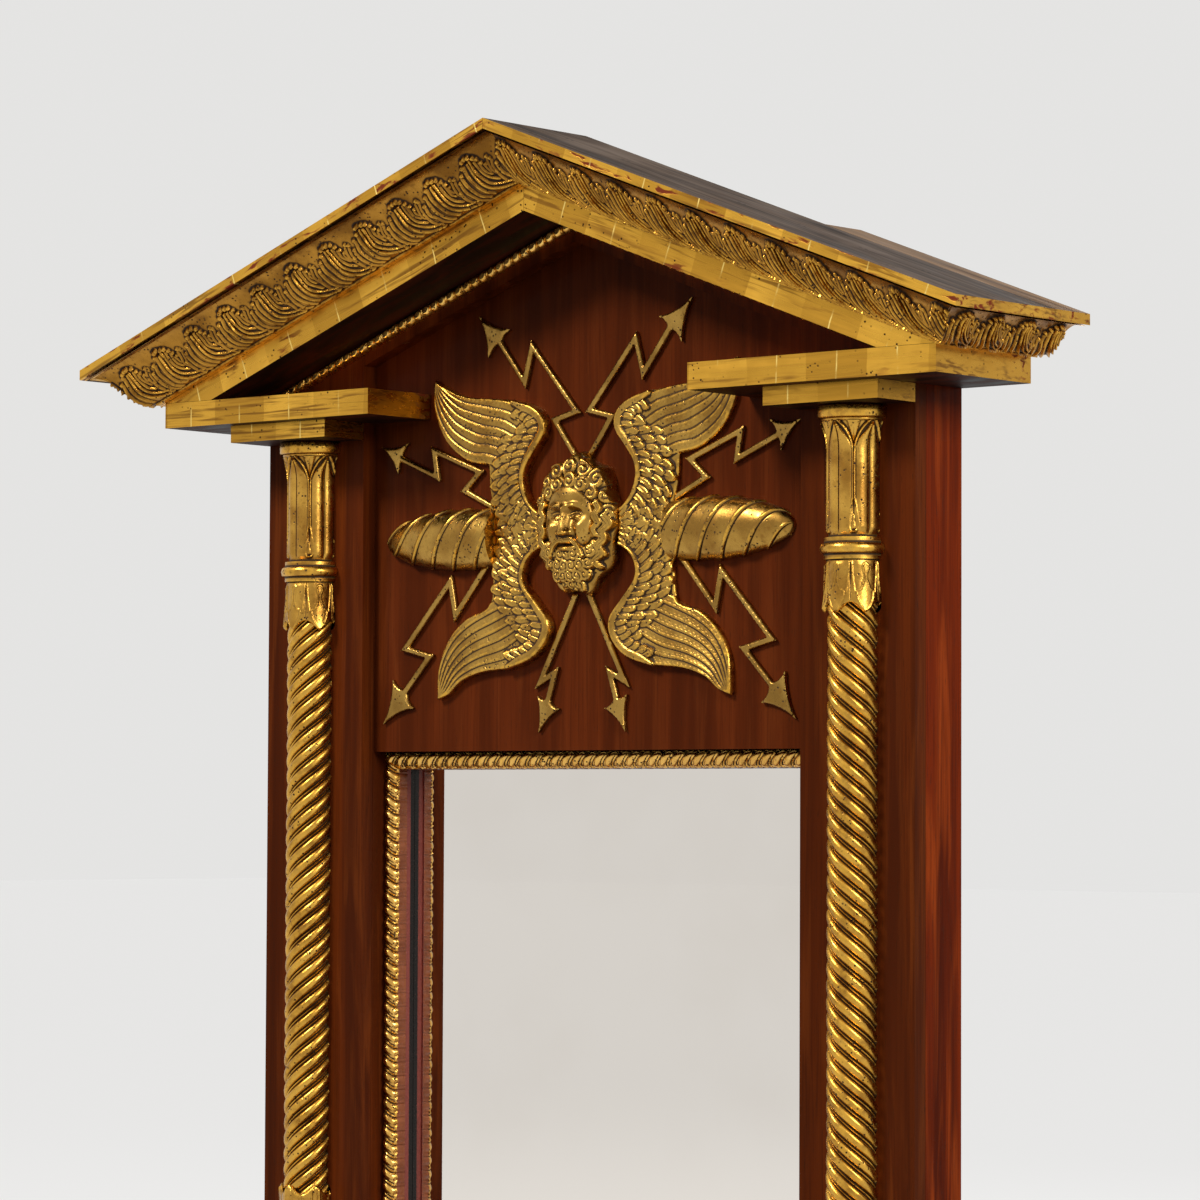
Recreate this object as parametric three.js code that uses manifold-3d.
// Empire pier mirror: a mahogany case with gilt twisted half-columns, lotus capitals,
// a broken pediment and a winged thunderbolt appliqué round a bearded mask.
// Millimetres, +Z up. The front faces -Y. Pieces are placed with Y = 0 on the front face
// of the stiles and Z = 0 on the surface it stands on; the last lines centre the depth.
import * as THREE from 'three';
import { mergeVertices } from 'three/addons/utils/BufferGeometryUtils.js';
import Module from 'manifold-3d';

const wasm = await Module();
wasm.setup();

// ---------------------------------------------------------------- driving dimensions

const gap = 0.3; // clearance left between pieces that touch

// case
const caseHalfWidth = 405;
const caseDepth = 70; // front face of the stiles to the wall
const stileWidth = 130;
const boardThickness = 16;
const panelSetback = 17; // frieze panel behind the front of the stiles
const panelThickness = 12;
const bottomRailHeight = 52;

// glass and its mouldings
const sightWidth = 17; // face width of the beaded sight moulding
const sightDepth = 19; // the gilt half-round and its bare side
const rebateDepth = 12; // polished wood behind the moulding, down to the glass
const rebateStep = 1.5; // the rebate is set back by this much
const glassThickness = 3;
const glassLap = 8; // the glass runs on behind the frieze and the bottom rail
const backboardThickness = 6;
const backboardCount = 2;

// base course
const baseHeight = 76;
const baseProjection = 72; // in front of the stiles
const baseOverhang = 12; // past the sides of the case
const baseTopThickness = 18;

// entablature and pediment
const soffitHeight = 1027; // underside of the horizontal cornice
const friezeHeight = 326; // frieze panel, from its underside to the level of the soffit
const geisonHeight = 25;
const geisonInnerHalf = 200.5; // the cornice is broken between these ends
const coronaHalfWidth = 481.5;
const coronaProjection = 73;
const rakeSlope = 0.374;
const coronaHeight = 24; // all pediment heights are measured vertically
const cymaHeight = 47;
const cymaProjection = 58.5;
const cymaSideProjection = 64;
const roofThickness = 10; // the gilt edge of the roof boards is the top fillet
const rearRoofInner = 290; // the rear roof boards survive only outside this
const railHeight = 22;
const tympanumBeadHeight = 12;
const tympanumBeadDepth = 8;

// columns
const columnX = 340;
const columnAxisY = -4.5; // a little more than half of each column stands proud
const abacusHeight = 17;
const abacusDepth = 56;
const plinthBlockHeight = 23;
const shaftRadius = 24.5;
const shaftStarts = 5;
const shaftLead = 75;
const grooveDepth = 2.8;
const ringRadius = 33.3;
const ringHeight = 12;
const torusRadius = 31;
const torusHeight = 9.5;
const columnFilletRadius = 27.5;
const columnFilletHeight = 5.2;
const drumRadius = 24.6;
const capitalDrumHeight = 84;
const flareHeight = 23.5;
const collarHeight = 48;
const collarRadius = 27.2;
const cupHeight = 108;
const cupLipRadius = 27.4;
const footHeight = 34;
const leafCount = 6; // leaves round a collar or a cup
const leafCut = 9; // depth of the notches between leaf tips
const petalCount = 5; // broad petals round the drum of a capital or a cup
const petalDip = 0.07; // how far the drum dips between petals, as a share of its radius
const socketDepth = 26; // how far the shaft runs inside collar and cup

// appliqué on the frieze
const maskBelowSoffit = 111; // middle of the mask under the level of the soffit
const maskHalfWidth = 50;
const maskHalfHeight = 67;
const maskDepth = 42;
const wingThickness = 12;
const wingMargin = 9.5; // between a wing and the broken end of the cornice
const featherStep = 3.4; // the flight feathers lie this much lower than the arm
const featherRise = 1.4; // every other flight feather stands proud by this much
const flightFeathers = 7;
const featherGroove = 0.12; // left low along each side of a raised feather, share of its width
const boltHalfHeight = 30.5;
const boltDepth = 22;
const boltTip = 256;
const boltWidest = 160;
const boltDrop = 9; // the bolts lie a little below the middle of the mask
const arrowThickness = 5;
const arrowWidth = 6;
const arrowSideMargin = 11.3; // between the arrow heads and what frames the panel
const arrowTopMargin = 11.3;
const arrowBottomMargin = 17;

// ---------------------------------------------------------------- materials

const gilt = (color, roughness) =>
  new THREE.MeshStandardMaterial({ color, roughness, metalness: 1 });
const wood = (color, roughness) =>
  new THREE.MeshStandardMaterial({ color, roughness, metalness: 0 });

const burnishedGold = gilt(0xc9952e, 0.32);
const carvedGold = gilt(0xa87b2c, 0.42);
const columnGold = gilt(0xc08f34, 0.3);
const mahogany = wood(0x4a1d12, 0.35);
const sideMahogany = wood(0x8a2f14, 0.28);
const pine = wood(0x8a6a45, 0.85);
const roofWood = wood(0x5e4a38, 0.8);
const silver = new THREE.MeshStandardMaterial({
  color: 0xd8d6d0, roughness: 0.03, metalness: 1,
});

// ---------------------------------------------------------------- derived levels

const stileInner = caseHalfWidth - stileWidth;
const friezeBottom = soffitHeight - friezeHeight;
const ornamentZ = soffitHeight - maskBelowSoffit;
const geisonTop = soffitHeight + geisonHeight;
const panelBack = panelSetback + panelThickness;
const sightBack = panelBack + gap + sightDepth + rebateDepth;
const glassFront = sightBack + gap;
const backboardFront = glassFront + glassThickness + gap;
const roofRise = cymaHeight + roofThickness;
const glassHalf = stileInner - gap;
const baseTop = baseHeight;
const sightTop = friezeBottom - gap;
const sightBottom = baseTop + bottomRailHeight + gap;

// height of the raking corona's top edge at a distance x from the middle
const rakeTop = (x) => geisonTop + rakeSlope * (coronaHalfWidth - Math.abs(x));
const rakeSoffit = (x) => rakeTop(x) - coronaHeight;
const roofUnderside = (x) => rakeTop(x) + cymaHeight;
// where the rake's soffit meets the top of the horizontal cornice
const rakeFoot = coronaHalfWidth - (coronaHeight + gap) / rakeSlope;

// ---------------------------------------------------------------- helpers

const mirror = new THREE.Group();
const beyond = 4000; // larger than any piece, for the solids that cut

function add(name, geometry, material) {
  const mesh = new THREE.Mesh(geometry, material);
  mesh.name = name;
  mirror.add(mesh);
  return mesh;
}

function box(name, material, [x0, x1], [y0, y1], [z0, z1]) {
  const mesh = add(name, new THREE.BoxGeometry(x1 - x0, y1 - y0, z1 - z0), material);
  mesh.position.set((x0 + x1) / 2, (y0 + y1) / 2, (z0 + z1) / 2);
  return mesh;
}

const shapeOf = (points) => new THREE.Shape(points.map(([x, y]) => new THREE.Vector2(x, y)));

// a board seen from the front: outline in X and Z, from y0 back to y1
function frontBoard(shape, y0, y1, curveSegments = 6) {
  const geometry = new THREE.ExtrudeGeometry(shape, {
    depth: y1 - y0, bevelEnabled: false, curveSegments,
  });
  geometry.rotateX(Math.PI / 2);
  geometry.translate(0, y1, 0);
  return geometry;
}

function bare(geometry) {
  const copy = geometry.clone();
  copy.deleteAttribute('normal');
  copy.deleteAttribute('uv');
  return mergeVertices(copy, 1e-3);
}

function signedVolume(geometry) {
  const { array } = geometry.attributes.position;
  const index = geometry.index.array;
  const corner = [new THREE.Vector3(), new THREE.Vector3(), new THREE.Vector3()];
  let volume = 0;
  for (let i = 0; i < index.length; i += 3) {
    corner.forEach((v, k) => v.fromArray(array, index[i + k] * 3));
    volume += corner[0].dot(corner[1].cross(corner[2]));
  }
  return volume;
}

// turn every face outwards after a mapping that mirrored the mesh
function outward(geometry) {
  const merged = bare(geometry);
  if (signedVolume(merged) < 0) {
    const index = merged.index.array;
    for (let i = 0; i < index.length; i += 3) {
      [index[i], index[i + 1]] = [index[i + 1], index[i]];
    }
  }
  return merged;
}

function remap(geometry, place) {
  const position = geometry.attributes.position;
  const v = new THREE.Vector3();
  for (let i = 0; i < position.count; i += 1) {
    v.fromBufferAttribute(position, i);
    place(v);
    position.setXYZ(i, v.x, v.y, v.z);
  }
  return outward(geometry);
}

function toSolid(geometry) {
  const merged = outward(geometry);
  return new wasm.Manifold(new wasm.Mesh({
    numProp: 3,
    vertProperties: new Float32Array(merged.attributes.position.array),
    triVerts: new Uint32Array(merged.index.array),
  }));
}

// back to a geometry, keeping only the largest body where a cut left slivers
function toGeometry(solid) {
  const bodies = solid.decompose();
  const kept = bodies.reduce((a, b) => (b.volume() > a.volume() ? b : a));
  const mesh = kept.getMesh();
  const geometry = new THREE.BufferGeometry();
  const vertices = new Float32Array(mesh.vertProperties);
  geometry.setAttribute('position', new THREE.BufferAttribute(vertices, 3));
  geometry.setIndex(new THREE.BufferAttribute(new Uint32Array(mesh.triVerts), 1));
  return geometry;
}

// ---------------------------------------------------------------- case

const backboardHalf = caseHalfWidth - boardThickness - gap;
const backboardTop = soffitHeight;

for (const [side, hand] of [[-1, 'left'], [1, 'right']]) {
  const across = (a, b) => [Math.min(a * side, b * side), Math.max(a * side, b * side)];

  // the front board runs up behind the cornice to the raking soffit
  const frontOutline = [
    [stileInner, baseTop + gap],
    [caseHalfWidth, baseTop + gap],
    [caseHalfWidth, rakeSoffit(caseHalfWidth) - gap],
    [stileInner, rakeSoffit(stileInner) - gap],
  ].map(([x, z]) => [x * side, z]);
  add(`stile_front_${hand}`, frontBoard(shapeOf(frontOutline), 0, boardThickness), mahogany);

  // the side board carries on up to the roof, and the return stops under the pediment
  const outerX = [caseHalfWidth - boardThickness, caseHalfWidth];
  const sideOutline = [
    [outerX[0], baseTop + gap], [outerX[1], baseTop + gap],
    [outerX[1], roofUnderside(outerX[1]) - gap], [outerX[0], roofUnderside(outerX[0]) - gap],
  ].map(([x, z]) => [x * side, z]);
  add(`stile_side_${hand}`,
    frontBoard(shapeOf(sideOutline), boardThickness + gap, caseDepth), sideMahogany);

  const innerX = across(stileInner, stileInner + boardThickness);
  const innerY = [boardThickness + gap, backboardFront - gap];
  const returnTop = rakeSoffit(stileInner + boardThickness) - gap;
  box(`stile_return_${hand}`, mahogany, innerX, innerY, [baseTop + gap, returnTop]);
}

const panelOutline = [
  [-stileInner + gap, friezeBottom],
  [stileInner - gap, friezeBottom],
  [stileInner - gap, rakeTop(stileInner)],
  [0, rakeTop(0)],
  [-stileInner + gap, rakeTop(stileInner)],
];
const panelY = [panelSetback + gap, panelBack];
add('frieze_panel', frontBoard(shapeOf(panelOutline), ...panelY), mahogany);
box('bottom_rail', mahogany, [-glassHalf, glassHalf], panelY,
  [baseTop + gap, baseTop + bottomRailHeight]);

for (let i = 0; i < backboardCount; i += 1) {
  const width = (2 * backboardHalf) / backboardCount;
  const left = -backboardHalf + i * width;
  box(`backboard_${i + 1}`, pine, [left + gap, left + width],
    [backboardFront, backboardFront + backboardThickness], [baseTop + gap, backboardTop]);
}

// ---------------------------------------------------------------- glass and sight mouldings

box('mirror_glass', silver, [-glassHalf, glassHalf],
  [glassFront, glassFront + glassThickness],
  [baseTop + bottomRailHeight - glassLap, friezeBottom + glassLap]);

// a mitred bar with a half-round face and a rebate, laid round the opening side by side
function sightBar(from, to, inward, y0) {
  const half = sightWidth / 2;
  const section = new THREE.Shape();
  const springing = rebateDepth + sightDepth - half;
  section.moveTo(0, 0);
  section.lineTo(0, springing);
  section.absarc(half, springing, half, Math.PI, 0, true);
  section.lineTo(sightWidth, rebateDepth);
  section.lineTo(sightWidth - rebateStep, rebateDepth);
  section.lineTo(sightWidth - rebateStep, 0);
  const geometry = new THREE.ExtrudeGeometry(section, {
    depth: 1, bevelEnabled: false, curveSegments: 6,
  });
  const along = new THREE.Vector2().subVectors(to, from).normalize();
  const point = new THREE.Vector2();
  return remap(geometry, (v) => {
    // both ends are cut back by as much as the point lies inside the opening
    point.lerpVectors(from, to, v.z);
    const cut = (v.x + gap) * (v.z < 0.5 ? 1 : -1);
    point.addScaledVector(along, cut).addScaledVector(inward, v.x);
    v.set(point.x, y0 - v.y, point.y);
  });
}

const corner = {
  topLeft: new THREE.Vector2(-glassHalf, sightTop),
  topRight: new THREE.Vector2(glassHalf, sightTop),
  bottomLeft: new THREE.Vector2(-glassHalf, sightBottom),
  bottomRight: new THREE.Vector2(glassHalf, sightBottom),
};
const sightSides = [
  ['top', 'topLeft', 'topRight', new THREE.Vector2(0, -1)],
  ['bottom', 'bottomLeft', 'bottomRight', new THREE.Vector2(0, 1)],
  ['left', 'bottomLeft', 'topLeft', new THREE.Vector2(1, 0)],
  ['right', 'bottomRight', 'topRight', new THREE.Vector2(-1, 0)],
];
for (const [name, from, to, inward] of sightSides) {
  add(`sight_bead_${name}`, sightBar(corner[from], corner[to], inward, sightBack), carvedGold);
}

// ---------------------------------------------------------------- base course

const baseHalf = caseHalfWidth + baseOverhang;
const baseInnerZ = [0, baseHeight - baseTopThickness - gap];
box('base_top', mahogany, [-baseHalf, baseHalf], [-baseProjection, caseDepth],
  [baseHeight - baseTopThickness, baseHeight]);
box('base_front', mahogany, [-baseHalf, baseHalf],
  [-baseProjection, -baseProjection + boardThickness], baseInnerZ);
for (const [side, hand] of [[-1, 'left'], [1, 'right']]) {
  const x = [side * baseHalf, side * (baseHalf - boardThickness)].sort((a, b) => a - b);
  box(`base_side_${hand}`, sideMahogany, x,
    [-baseProjection + boardThickness + gap, caseDepth], baseInnerZ);
}

// ---------------------------------------------------------------- cornice and pediment

// the cyma's outline: out by p from the corona's face, up by v from its top
function cymaShape() {
  const shape = new THREE.Shape();
  const p = cymaProjection;
  const h = cymaHeight - gap;
  const quirk = 4;
  shape.moveTo(gap, 0);
  shape.lineTo(quirk, 0);
  shape.bezierCurveTo(p * 0.5, h * 0.05, p * 0.45, h * 0.78, p - quirk, h - quirk / 2);
  shape.lineTo(p - quirk, h);
  shape.lineTo(gap, h);
  return shape;
}

const sideStretch = cymaSideProjection / cymaProjection;

// lay a profile up the rake, mitred at the eaves and cut plumb at the ridge
function rakeMoulding(shape, side) {
  const geometry = new THREE.ExtrudeGeometry(shape, {
    depth: 1, bevelEnabled: false, curveSegments: 8,
  });
  return remap(geometry, (v) => {
    const { x: p, y: up, z: t } = v;
    const eaves = coronaHalfWidth + p * sideStretch;
    const x = t < 0.5 ? gap / 2 : eaves - gap;
    v.set(x * side, -coronaProjection - p, rakeTop(x) + up);
  });
}

// the same profile turned back along the side to the wall, level with the eaves
function returnMoulding(shape, side) {
  const geometry = new THREE.ExtrudeGeometry(shape, {
    depth: 1, bevelEnabled: false, curveSegments: 8,
  });
  return remap(geometry, (v) => {
    const { x: p, y: up, z: t } = v;
    const x = coronaHalfWidth + p * sideStretch;
    const y = t < 0.5 ? -coronaProjection - p + gap : caseDepth;
    v.set(x * side, y, rakeTop(x) + up);
  });
}

// a board lying on the rake between x0 and x1, from height a to b over the corona's top
function rakeBoard(side, x0, x1, a, b, y0, y1) {
  const outline = [
    [x0, rakeTop(x0) + a], [x1, rakeTop(x1) + a], [x1, rakeTop(x1) + b], [x0, rakeTop(x0) + b],
  ].map(([x, z]) => [x * side, z]);
  return frontBoard(shapeOf(outline), y0, y1);
}

const crownFront = -coronaProjection;
const crownBack = boardThickness;
const ridge = gap / 2;
const roofOuter = coronaHalfWidth + cymaSideProjection;
const roofFront = crownFront - cymaProjection;

for (const [side, hand] of [[-1, 'left'], [1, 'right']]) {
  const toSide = (points) => shapeOf(points.map(([x, y]) => [x * side, y]));

  // the level cornice is notched round the stile and runs back to the wall outside it
  const geison = new THREE.ExtrudeGeometry(toSide([
    [geisonInnerHalf, crownFront], [coronaHalfWidth, crownFront],
    [coronaHalfWidth, caseDepth], [caseHalfWidth + gap, caseDepth],
    [caseHalfWidth + gap, -gap], [stileInner - gap, -gap],
    [stileInner - gap, panelSetback], [geisonInnerHalf, panelSetback],
  ]), { depth: geisonHeight, bevelEnabled: false });
  geison.translate(0, 0, soffitHeight);
  add(`geison_${hand}`, geison, burnishedGold);

  // one plank per slope: its lower edge shows as the raking corona, the cyma hides the rest
  const rake = toSide([
    [ridge, roofUnderside(ridge) - gap], [coronaHalfWidth, roofUnderside(coronaHalfWidth) - gap],
    [coronaHalfWidth, geisonTop + gap], [rakeFoot, geisonTop + gap], [ridge, rakeSoffit(ridge)],
  ]);
  add(`corona_${hand}`, frontBoard(rake, crownFront, crownBack), burnishedGold);

  add(`cyma_${hand}`, rakeMoulding(cymaShape(), side), carvedGold);
  add(`cyma_return_${hand}`, returnMoulding(cymaShape(), side), carvedGold);

  const frontRoof = rakeBoard(side, ridge, roofOuter, cymaHeight, roofRise,
    roofFront, crownBack);
  add(`roof_front_${hand}`, frontRoof, roofWood);
  const rearRoof = rakeBoard(side, rearRoofInner, roofOuter, cymaHeight, roofRise,
    crownBack + gap, caseDepth);
  add(`roof_rear_${hand}`, rearRoof, roofWood);

  // raking rail between the stiles and the bead under the soffit
  const railOuter = stileInner - gap;
  const rail = toSide([
    [ridge, rakeSoffit(ridge) - gap], [railOuter, rakeSoffit(railOuter) - gap],
    [railOuter, rakeSoffit(railOuter) - railHeight], [ridge, rakeSoffit(ridge) - railHeight],
  ]);
  add(`raking_rail_${hand}`, frontBoard(rail, 0, panelSetback), mahogany);

  const beadOuter = rakeFoot - (tympanumBeadHeight + 2 * gap) / rakeSlope;
  const beadTop = (x) => rakeSoffit(x) - gap;
  const bead = toSide([
    [ridge, beadTop(ridge)], [beadOuter, beadTop(beadOuter)],
    [beadOuter, beadTop(beadOuter) - tympanumBeadHeight],
    [ridge, beadTop(ridge) - tympanumBeadHeight],
  ]);
  add(`tympanum_bead_${hand}`, frontBoard(bead, -tympanumBeadDepth, -gap), carvedGold);
}

// ---------------------------------------------------------------- columns

const latheSegments = 36;

// turn a closed profile of [radius, z] points about the vertical
function turned(profile, shapeVertex) {
  const points = profile.map(([r, z]) => new THREE.Vector2(r, z));
  const geometry = new THREE.LatheGeometry(points, latheSegments);
  geometry.rotateX(Math.PI / 2);
  return remap(geometry, shapeVertex ?? (() => {}));
}

// round a ring of leaves, from 0 in the middle of a leaf to 1 between two of them
const leafNotch = (angle, count) => Math.abs(Math.sin((count * angle) / 2)) ** 1.5;

// cut a whole column member at the face of the stile and stand it in its place
function engaged(solid, side) {
  const behind = new THREE.BoxGeometry(beyond, beyond, beyond);
  behind.translate(0, beyond / 2 - columnAxisY - gap, 0);
  const geometry = toGeometry(solid.subtract(toSolid(behind)));
  geometry.translate(columnX * side, columnAxisY, 0);
  return geometry;
}

const abacusBottom = soffitHeight - gap - abacusHeight;
const capitalTop = abacusBottom - gap;
const ringFoot = capitalTop - ringHeight;
const flareFoot = ringFoot - flareHeight;
const drumFoot = flareFoot - capitalDrumHeight;
const collarTop = drumFoot - 2 * columnFilletHeight - torusHeight;
const collarTips = collarTop - collarHeight;
const shaftTop = collarTips + socketDepth - gap;

const baseBlockTop = baseTop + gap + plinthBlockHeight;
const footBottom = baseBlockTop + gap;
const footNeck = footBottom + ringHeight + footHeight;
const cupBottom = footNeck + 2 * columnFilletHeight + torusHeight;
const cupTips = cupBottom + cupHeight;
const shaftBottom = cupTips - socketDepth + gap;

// fillet, torus and fillet, from z upwards
const astragal = (z) => [
  [columnFilletRadius, z],
  [columnFilletRadius, z + columnFilletHeight],
  [torusRadius - 1.2, z + columnFilletHeight + 1],
  [torusRadius, z + columnFilletHeight + torusHeight / 2],
  [torusRadius - 1.2, z + columnFilletHeight + torusHeight - 1],
  [columnFilletRadius, z + columnFilletHeight + torusHeight],
  [columnFilletRadius, z + 2 * columnFilletHeight + torusHeight],
];

// the capital's collar hangs over the top of the shaft and its leaf tips point down
const socketRadius = shaftRadius + gap;
const capitalProfile = [
  [0, collarTips + socketDepth],
  [socketRadius, collarTips + socketDepth],
  [socketRadius, collarTips],
  [collarRadius + 1, collarTips],
  [collarRadius, collarTips + leafCut * 0.6],
  [drumRadius + 1.4, collarTop - collarHeight * 0.4],
  [drumRadius + 1, collarTop],
  ...astragal(collarTop),
  [drumRadius, drumFoot + 1],
  [drumRadius - 0.4, drumFoot + capitalDrumHeight * 0.5],
  [drumRadius, flareFoot],
  [drumRadius + 2, flareFoot + flareHeight * 0.45],
  [ringRadius - 3, flareFoot + flareHeight * 0.8],
  [ringRadius - 1, ringFoot],
  [ringRadius, ringFoot + 1],
  [ringRadius, capitalTop - 1],
  [ringRadius - 1, capitalTop],
  [0, capitalTop],
];

// the foot ends in a lotus cup that holds the shaft, its leaf tips pointing up
const footProfile = [
  [0, footBottom],
  [ringRadius, footBottom],
  [ringRadius, footBottom + ringHeight],
  [ringRadius - 2, footBottom + ringHeight + 1],
  [drumRadius + 2.5, footBottom + ringHeight + footHeight * 0.35],
  [drumRadius + 0.5, footBottom + ringHeight + footHeight * 0.75],
  ...astragal(footNeck),
  [drumRadius, cupBottom + 1],
  [drumRadius - 0.4, cupBottom + cupHeight * 0.4],
  [collarRadius - 1, cupTips - socketDepth],
  [cupLipRadius + 1, cupTips],
  [socketRadius, cupTips],
  [socketRadius, cupTips - socketDepth],
  [0, cupTips - socketDepth],
];

// broad lotus petals: the drum dips between two petals and the leaf tips are notched
function lotusLeaves(drumBottom, drumTop, tipZ, notchUp) {
  return (v) => {
    const angle = Math.atan2(v.x, -v.y);
    if (v.z > drumBottom + 2 && v.z < drumTop - 1) {
      const dip = 1 - petalDip * leafNotch(angle, petalCount) ** 2;
      v.x *= dip;
      v.y *= dip;
    }
    if (Math.abs(v.z - tipZ) < 0.01) v.z += notchUp * leafCut * leafNotch(angle, leafCount);
  };
}

// a rope of broad ridges, twisted as it rises; the two columns mirror each other
function twistedShaft(side) {
  const crest = shaftRadius;
  const ridgeSection = [
    [0, crest - grooveDepth], [0.2, crest - 0.6], [0.5, crest], [0.8, crest - 0.6],
  ];
  const section = [];
  for (let start = 0; start < shaftStarts; start += 1) {
    for (const [part, radius] of ridgeSection) {
      const angle = ((start + part) / shaftStarts) * 2 * Math.PI;
      section.push([radius * Math.cos(angle), radius * Math.sin(angle)]);
    }
  }
  const length = shaftTop - shaftBottom;
  const stepsPerTurn = 9;
  const steps = Math.round((length / shaftLead) * stepsPerTurn);
  const rod = new THREE.ExtrudeGeometry(shapeOf(section), {
    depth: length, steps, bevelEnabled: false,
  });
  const axis = new THREE.Vector3(0, 0, 1);
  return remap(rod, (v) => {
    v.applyAxisAngle(axis, (side * -2 * Math.PI * v.z) / shaftLead);
    v.z += shaftBottom;
  });
}

for (const [side, hand] of [[-1, 'left'], [1, 'right']]) {
  const blockX = [side * stileInner, side * caseHalfWidth].sort((a, b) => a - b);
  const blockY = [-abacusDepth, -gap];
  box(`abacus_${hand}`, burnishedGold, blockX, blockY,
    [abacusBottom, abacusBottom + abacusHeight]);
  box(`plinth_block_${hand}`, burnishedGold, blockX, blockY, [baseTop + gap, baseBlockTop]);

  const member = (geometry) => engaged(toSolid(geometry), side);
  const capital = turned(capitalProfile, lotusLeaves(drumFoot, ringFoot, collarTips, 1));
  add(`capital_${hand}`, member(capital), columnGold);
  add(`shaft_${hand}`, member(twistedShaft(side)), columnGold);
  const cup = lotusLeaves(cupBottom, cupTips - socketDepth, cupTips, -1);
  add(`column_foot_${hand}`, member(turned(footProfile, cup)), columnGold);
}

// ---------------------------------------------------------------- appliqué

const ornamentBack = panelSetback;

// outlines are drawn about the middle of the mask, for the right-hand side; each wing has
// the edge along its arm, then the top and the under edge of its flight feathers
const upperWing = {
  arm: [[40, 12], [52, 15], [64, 27], [70, 44], [67, 58], [56, 73], [44, 89], [45, 105],
    [60, 117], [85, 124]],
  top: [[85, 124], [115, 127], [146, 130], [170, 138], [190, 149]],
  under: [[120, 62], [146, 67], [170, 82], [184, 101], [191, 122], [190, 149]],
};
const wingMiddle = [[120, 62], [118, 36], [112, 14], [110, -10], [113, -34], [115, -66]];
const lowerWing = {
  arm: [[40, -20], [52, -23], [64, -31], [70, -43], [68, -55], [52, -73], [38, -90],
    [40, -109], [58, -127], [90, -137]],
  top: [[90, -137], [124, -139], [152, -147], [170, -160], [184, -165]],
  under: [[115, -66], [122, -78], [147, -86], [170, -105], [183, -132], [184, -165]],
};
const wingReach = Math.max(...upperWing.under.map(([x]) => x));

function strokeThrough(path, points) {
  path.splineThru(points.slice(1).map(([x, z]) => new THREE.Vector2(x, z)));
}

function wingPath(parts) {
  const shape = new THREE.Shape();
  shape.moveTo(...parts[0][0]);
  parts.forEach((part) => strokeThrough(shape, part));
  return shape;
}

const backwards = (points) => [...points].reverse();
const wholeWing = wingPath([upperWing.arm, upperWing.top, backwards(upperWing.under), wingMiddle,
  lowerWing.under, backwards(lowerWing.top), backwards(lowerWing.arm)]);
const wingArms = wingPath([upperWing.arm, [upperWing.arm.at(-1), upperWing.under[0]],
  wingMiddle, [lowerWing.under[0], lowerWing.arm.at(-1)], backwards(lowerWing.arm)]);

// a flight feather is a band between the top and the under edge of its wing, short of the tip
function featherPath({ top, under }, feather) {
  const [topCurve, underCurve] = [top, under].map((points) => (
    new THREE.SplineCurve(points.map(([x, z]) => new THREE.Vector2(x, z))).getPoints(7)
  ));
  const edge = (share) => topCurve.slice(0, -1)
    .map((point, i) => point.clone().lerp(underCurve[i], share / flightFeathers));
  return [...edge(feather + featherGroove), ...edge(feather + 1 - featherGroove).reverse()];
}

// the drawn ornament is stretched to the panel, the cornice and the frame round them
const spreadUpAt = (x) => rakeSoffit(x) - railHeight - arrowTopMargin - ornamentZ;

const wingCurveSegments = 3;

// the outline pushed out by a clearance, used to cut what passes under the wings
function grownOutline(points, clearance) {
  const by = THREE.ShapeUtils.area(points) > 0 ? clearance : -clearance;
  return points.map((point, i) => {
    const before = points[(i + points.length - 1) % points.length];
    const after = points[(i + 1) % points.length];
    const along = new THREE.Vector2().subVectors(after, before).normalize();
    return [point.x + along.y * by, point.y - along.x * by];
  });
}

const maskOutline = new THREE.Shape();
maskOutline.absellipse(0, 0, maskHalfWidth, maskHalfHeight, 0, 2 * Math.PI);

function prism(points, side) {
  const outline = points.map(([x, z]) => [x * side, z + ornamentZ]);
  return toSolid(frontBoard(shapeOf(outline), -beyond / 2, ornamentBack + 1));
}

const maskPoints = maskOutline.getPoints(24).slice(0, -1);
const maskCutter = prism(grownOutline(maskPoints, gap), 1);

// arrow-headed bolt of lightning: a zigzag bar with a barbed head at its first point
function arrowOutline([tip, barbA, barbB, ...bar], width) {
  const path = bar.map(([x, z]) => new THREE.Vector2(x, z));
  const offset = (sign) => path.map((point, i) => {
    const before = path[Math.max(i - 1, 0)];
    const after = path[Math.min(i + 1, path.length - 1)];
    const a = i > 0 ? point.clone().sub(before).normalize() : null;
    const b = i < path.length - 1 ? after.clone().sub(point).normalize() : null;
    const normal = (d) => new THREE.Vector2(-d.y, d.x);
    if (!a || !b) return point.clone().addScaledVector(normal(a ?? b), (sign * width) / 2);
    const mitre = normal(a).add(normal(b)).normalize();
    const reach = width / 2 / Math.max(mitre.dot(normal(a)), 0.3);
    return point.clone().addScaledVector(mitre, sign * reach);
  });
  const left = offset(1);
  const right = offset(-1);
  const heading = path[1].clone().sub(path[0]);
  const side = heading.cross(new THREE.Vector2(...barbA).sub(path[0])) > 0 ? 1 : -1;
  const [first, last] = side > 0 ? [barbB, barbA] : [barbA, barbB];
  return [tip, first, ...right.map((v) => [v.x, v.y]),
    ...left.reverse().map((v) => [v.x, v.y]), last];
}

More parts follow.
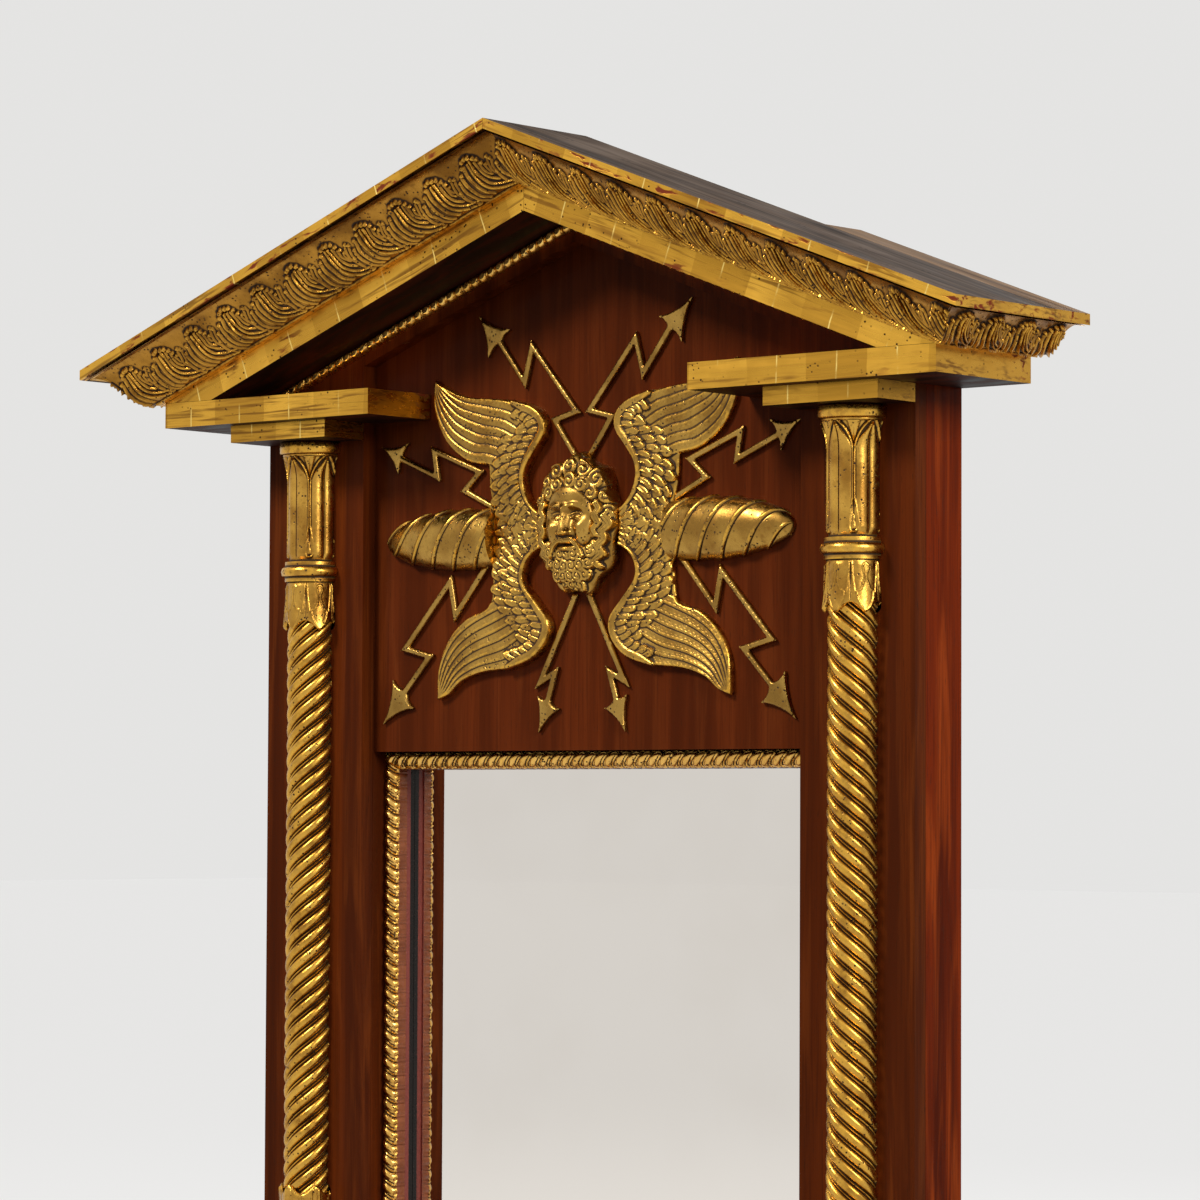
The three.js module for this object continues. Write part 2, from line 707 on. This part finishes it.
// tip, two barbs, then the bar from the head inwards; drawn for the right-hand side
const arrows = {
  top: [[134.5, 208.5], [93.7, 193], [122, 167], [107, 181.5], [74.8, 140.5],
    [65.3, 175], [8, 109], [36, 102], [6, 62]],
  upper: [[263.7, 87], [226.6, 89], [240.7, 59], [237, 74], [188.6, 54], [193, 80],
    [132, 56.5], [152.3, 39], [112, 20]],
  lower: [[259, -188], [246.3, -144], [218, -172.7], [230, -156], [197.4, -122],
    [230.4, -114], [170.4, -49], [163.4, -83], [120, -32]],
  bottom: [[54.7, -198], [56.2, -162.5], [27.8, -175.4], [42.8, -166.7], [34.2, -140.6],
    [52.9, -149.6], [6, -62]],
};

const spreadX = (stileInner - arrowSideMargin) / arrows.upper[0][0];
const spreadUp = spreadUpAt(arrows.top[0][0] * spreadX) / arrows.top[0][1];
const spreadDown = (ornamentZ - friezeBottom - arrowBottomMargin) / -arrows.bottom[0][1];
const wingSpread = Math.min(spreadX, (geisonInnerHalf - wingMargin) / wingReach);
const spreadZ = (z) => z * (z > 0 ? spreadUp : spreadDown);
const spreadWing = (points) => points.map((p) => (
  new THREE.Vector2(p.x * wingSpread, spreadZ(p.y))));

const boltInner = 90; // the hidden root, under the wings
const boltCurve = new THREE.SplineCurve([
  [boltInner, 0.66], [boltWidest - 30, 0.95], [boltWidest, 1], [boltWidest + 36, 0.86],
  [boltWidest + 68, 0.55], [boltTip, 0.03],
].map(([x, part]) => new THREE.Vector2(part * boltHalfHeight, x * spreadX)));
const boltProfile = [new THREE.Vector2(0, boltInner * spreadX), ...boltCurve.getPoints(12),
  new THREE.Vector2(0, boltTip * spreadX + 0.5)];
const behindPanel = new THREE.BoxGeometry(beyond, beyond, beyond);
behindPanel.translate(0, ornamentBack + beyond / 2, ornamentZ);

for (const [side, hand] of [[-1, 'left'], [1, 'right']]) {
  const plate = (points, thickness) => {
    const outline = spreadWing(points).map((p) => [p.x * side, p.y + ornamentZ]);
    return toSolid(frontBoard(shapeOf(outline), ornamentBack - thickness, ornamentBack));
  };
  const outlinePoints = (path) => path.getPoints(wingCurveSegments)
    .filter((p, i, all) => i === 0 || p.distanceTo(all[i - 1]) > 0.5);
  const wingPoints = outlinePoints(wholeWing);
  let wing = plate(wingPoints, wingThickness - featherStep)
    .add(plate(outlinePoints(wingArms), wingThickness));
  for (const edges of [upperWing, lowerWing]) {
    for (let i = 0; i < flightFeathers; i += 2) {
      wing = wing.add(plate(featherPath(edges, i), wingThickness - featherStep + featherRise));
    }
  }
  add(`wings_${hand}`, toGeometry(wing.subtract(maskCutter)), carvedGold);
  const wingCutter = prism(grownOutline(spreadWing(wingPoints), gap), side);

  // the pointed bolt is turned about its long axis, flattened, and half is kept
  const boltBody = remap(new THREE.LatheGeometry(boltProfile, 24), (v) => {
    const depth = v.z * (boltDepth / boltHalfHeight);
    v.set(v.y * side, depth + ornamentBack, v.x + ornamentZ - boltDrop);
  });
  const bolt = toSolid(boltBody).subtract(toSolid(behindPanel)).subtract(wingCutter);
  add(`thunderbolt_${hand}`, toGeometry(bolt), carvedGold);
  const boltEdge = boltProfile.map((p) => new THREE.Vector2(p.y, p.x - boltDrop));
  const boltUnderEdge = boltProfile.map((p) => new THREE.Vector2(p.y, -p.x - boltDrop)).reverse();
  const boltOutline = [...boltEdge, ...boltUnderEdge.slice(1, -1)];
  const boltCutter = prism(grownOutline(boltOutline, gap), side);

  for (const [place, points] of Object.entries(arrows)) {
    const drawn = points.map(([x, z]) => [x * spreadX, spreadZ(z)]);
    const outline = arrowOutline(drawn, arrowWidth).map(([x, z]) => [x * side, z + ornamentZ]);
    const blank = frontBoard(shapeOf(outline), ornamentBack - arrowThickness, ornamentBack);
    const arrow = toSolid(blank).subtract(wingCutter).subtract(maskCutter)
      .subtract(boltCutter);
    add(`lightning_${place}_${hand}`, toGeometry(arrow), carvedGold);
  }
}

// bearded mask: an oval boss whose relief is built from a few rounded swellings
const swellings = [
  // x, z, width, height, relief
  [0, 6, 26, 30, 12], // face
  [0, 4, 5, 13, 9], // nose
  [0, 20, 20, 5, 4], // brow
  [0, -30, 24, 22, 10], // beard
  [0, 40, 34, 16, 8], // hair over the forehead
  [-30, 20, 9, 24, 6], // hair at the temples
  [30, 20, 9, 24, 6],
];

function maskRelief(x, z) {
  const rim = Math.max(0, 1 - (x / maskHalfWidth) ** 2 - (z / maskHalfHeight) ** 2);
  const boss = (maskDepth - 21) * Math.sqrt(rim);
  const detail = swellings.reduce((sum, [cx, cz, w, h, relief]) => (
    sum + relief * Math.exp(-(((x - cx) / w) ** 2) - ((z - cz) / h) ** 2)
  ), 0);
  return 4 + boss + detail * Math.min(1, rim * 3);
}

const maskRings = 9;
const maskSpokes = 32;
const maskGeometry = (() => {
  // concentric rings on the front, a flat back
  const vertices = [0, 0, 1];
  const triangles = [];
  for (let ring = 1; ring <= maskRings; ring += 1) {
    for (let spoke = 0; spoke < maskSpokes; spoke += 1) {
      const angle = (spoke / maskSpokes) * 2 * Math.PI;
      const part = Math.sin((ring / maskRings) * (Math.PI / 2));
      vertices.push(part * Math.cos(angle), part * Math.sin(angle), 1);
    }
  }
  const back = vertices.length / 3;
  const at = (ring, spoke) => 1 + (ring - 1) * maskSpokes + (spoke % maskSpokes);
  for (let spoke = 0; spoke < maskSpokes; spoke += 1) {
    triangles.push(0, at(1, spoke), at(1, spoke + 1));
    for (let ring = 1; ring < maskRings; ring += 1) {
      triangles.push(at(ring, spoke), at(ring + 1, spoke), at(ring + 1, spoke + 1));
      triangles.push(at(ring, spoke), at(ring + 1, spoke + 1), at(ring, spoke + 1));
    }
    const angle = (spoke / maskSpokes) * 2 * Math.PI;
    vertices.push(Math.cos(angle), Math.sin(angle), 0);
    const rim = back + spoke;
    const nextRim = back + ((spoke + 1) % maskSpokes);
    triangles.push(at(maskRings, spoke), rim, nextRim);
    triangles.push(at(maskRings, spoke), nextRim, at(maskRings, spoke + 1));
    if (spoke > 1) triangles.push(back, rim, back + spoke - 1);
  }
  const geometry = new THREE.BufferGeometry();
  geometry.setAttribute('position', new THREE.Float32BufferAttribute(vertices, 3));
  geometry.setIndex(triangles);
  return geometry;
})();
add('mask', remap(maskGeometry, (v) => {
  const x = v.x * maskHalfWidth;
  const z = v.y * maskHalfHeight;
  v.set(x, ornamentBack - v.z * maskRelief(x, z), z + ornamentZ);
}), carvedGold);

// ---------------------------------------------------------------- whole

mirror.position.y = (coronaProjection + cymaProjection - caseDepth) / 2;
mirror.updateMatrixWorld(true);

export default mirror;
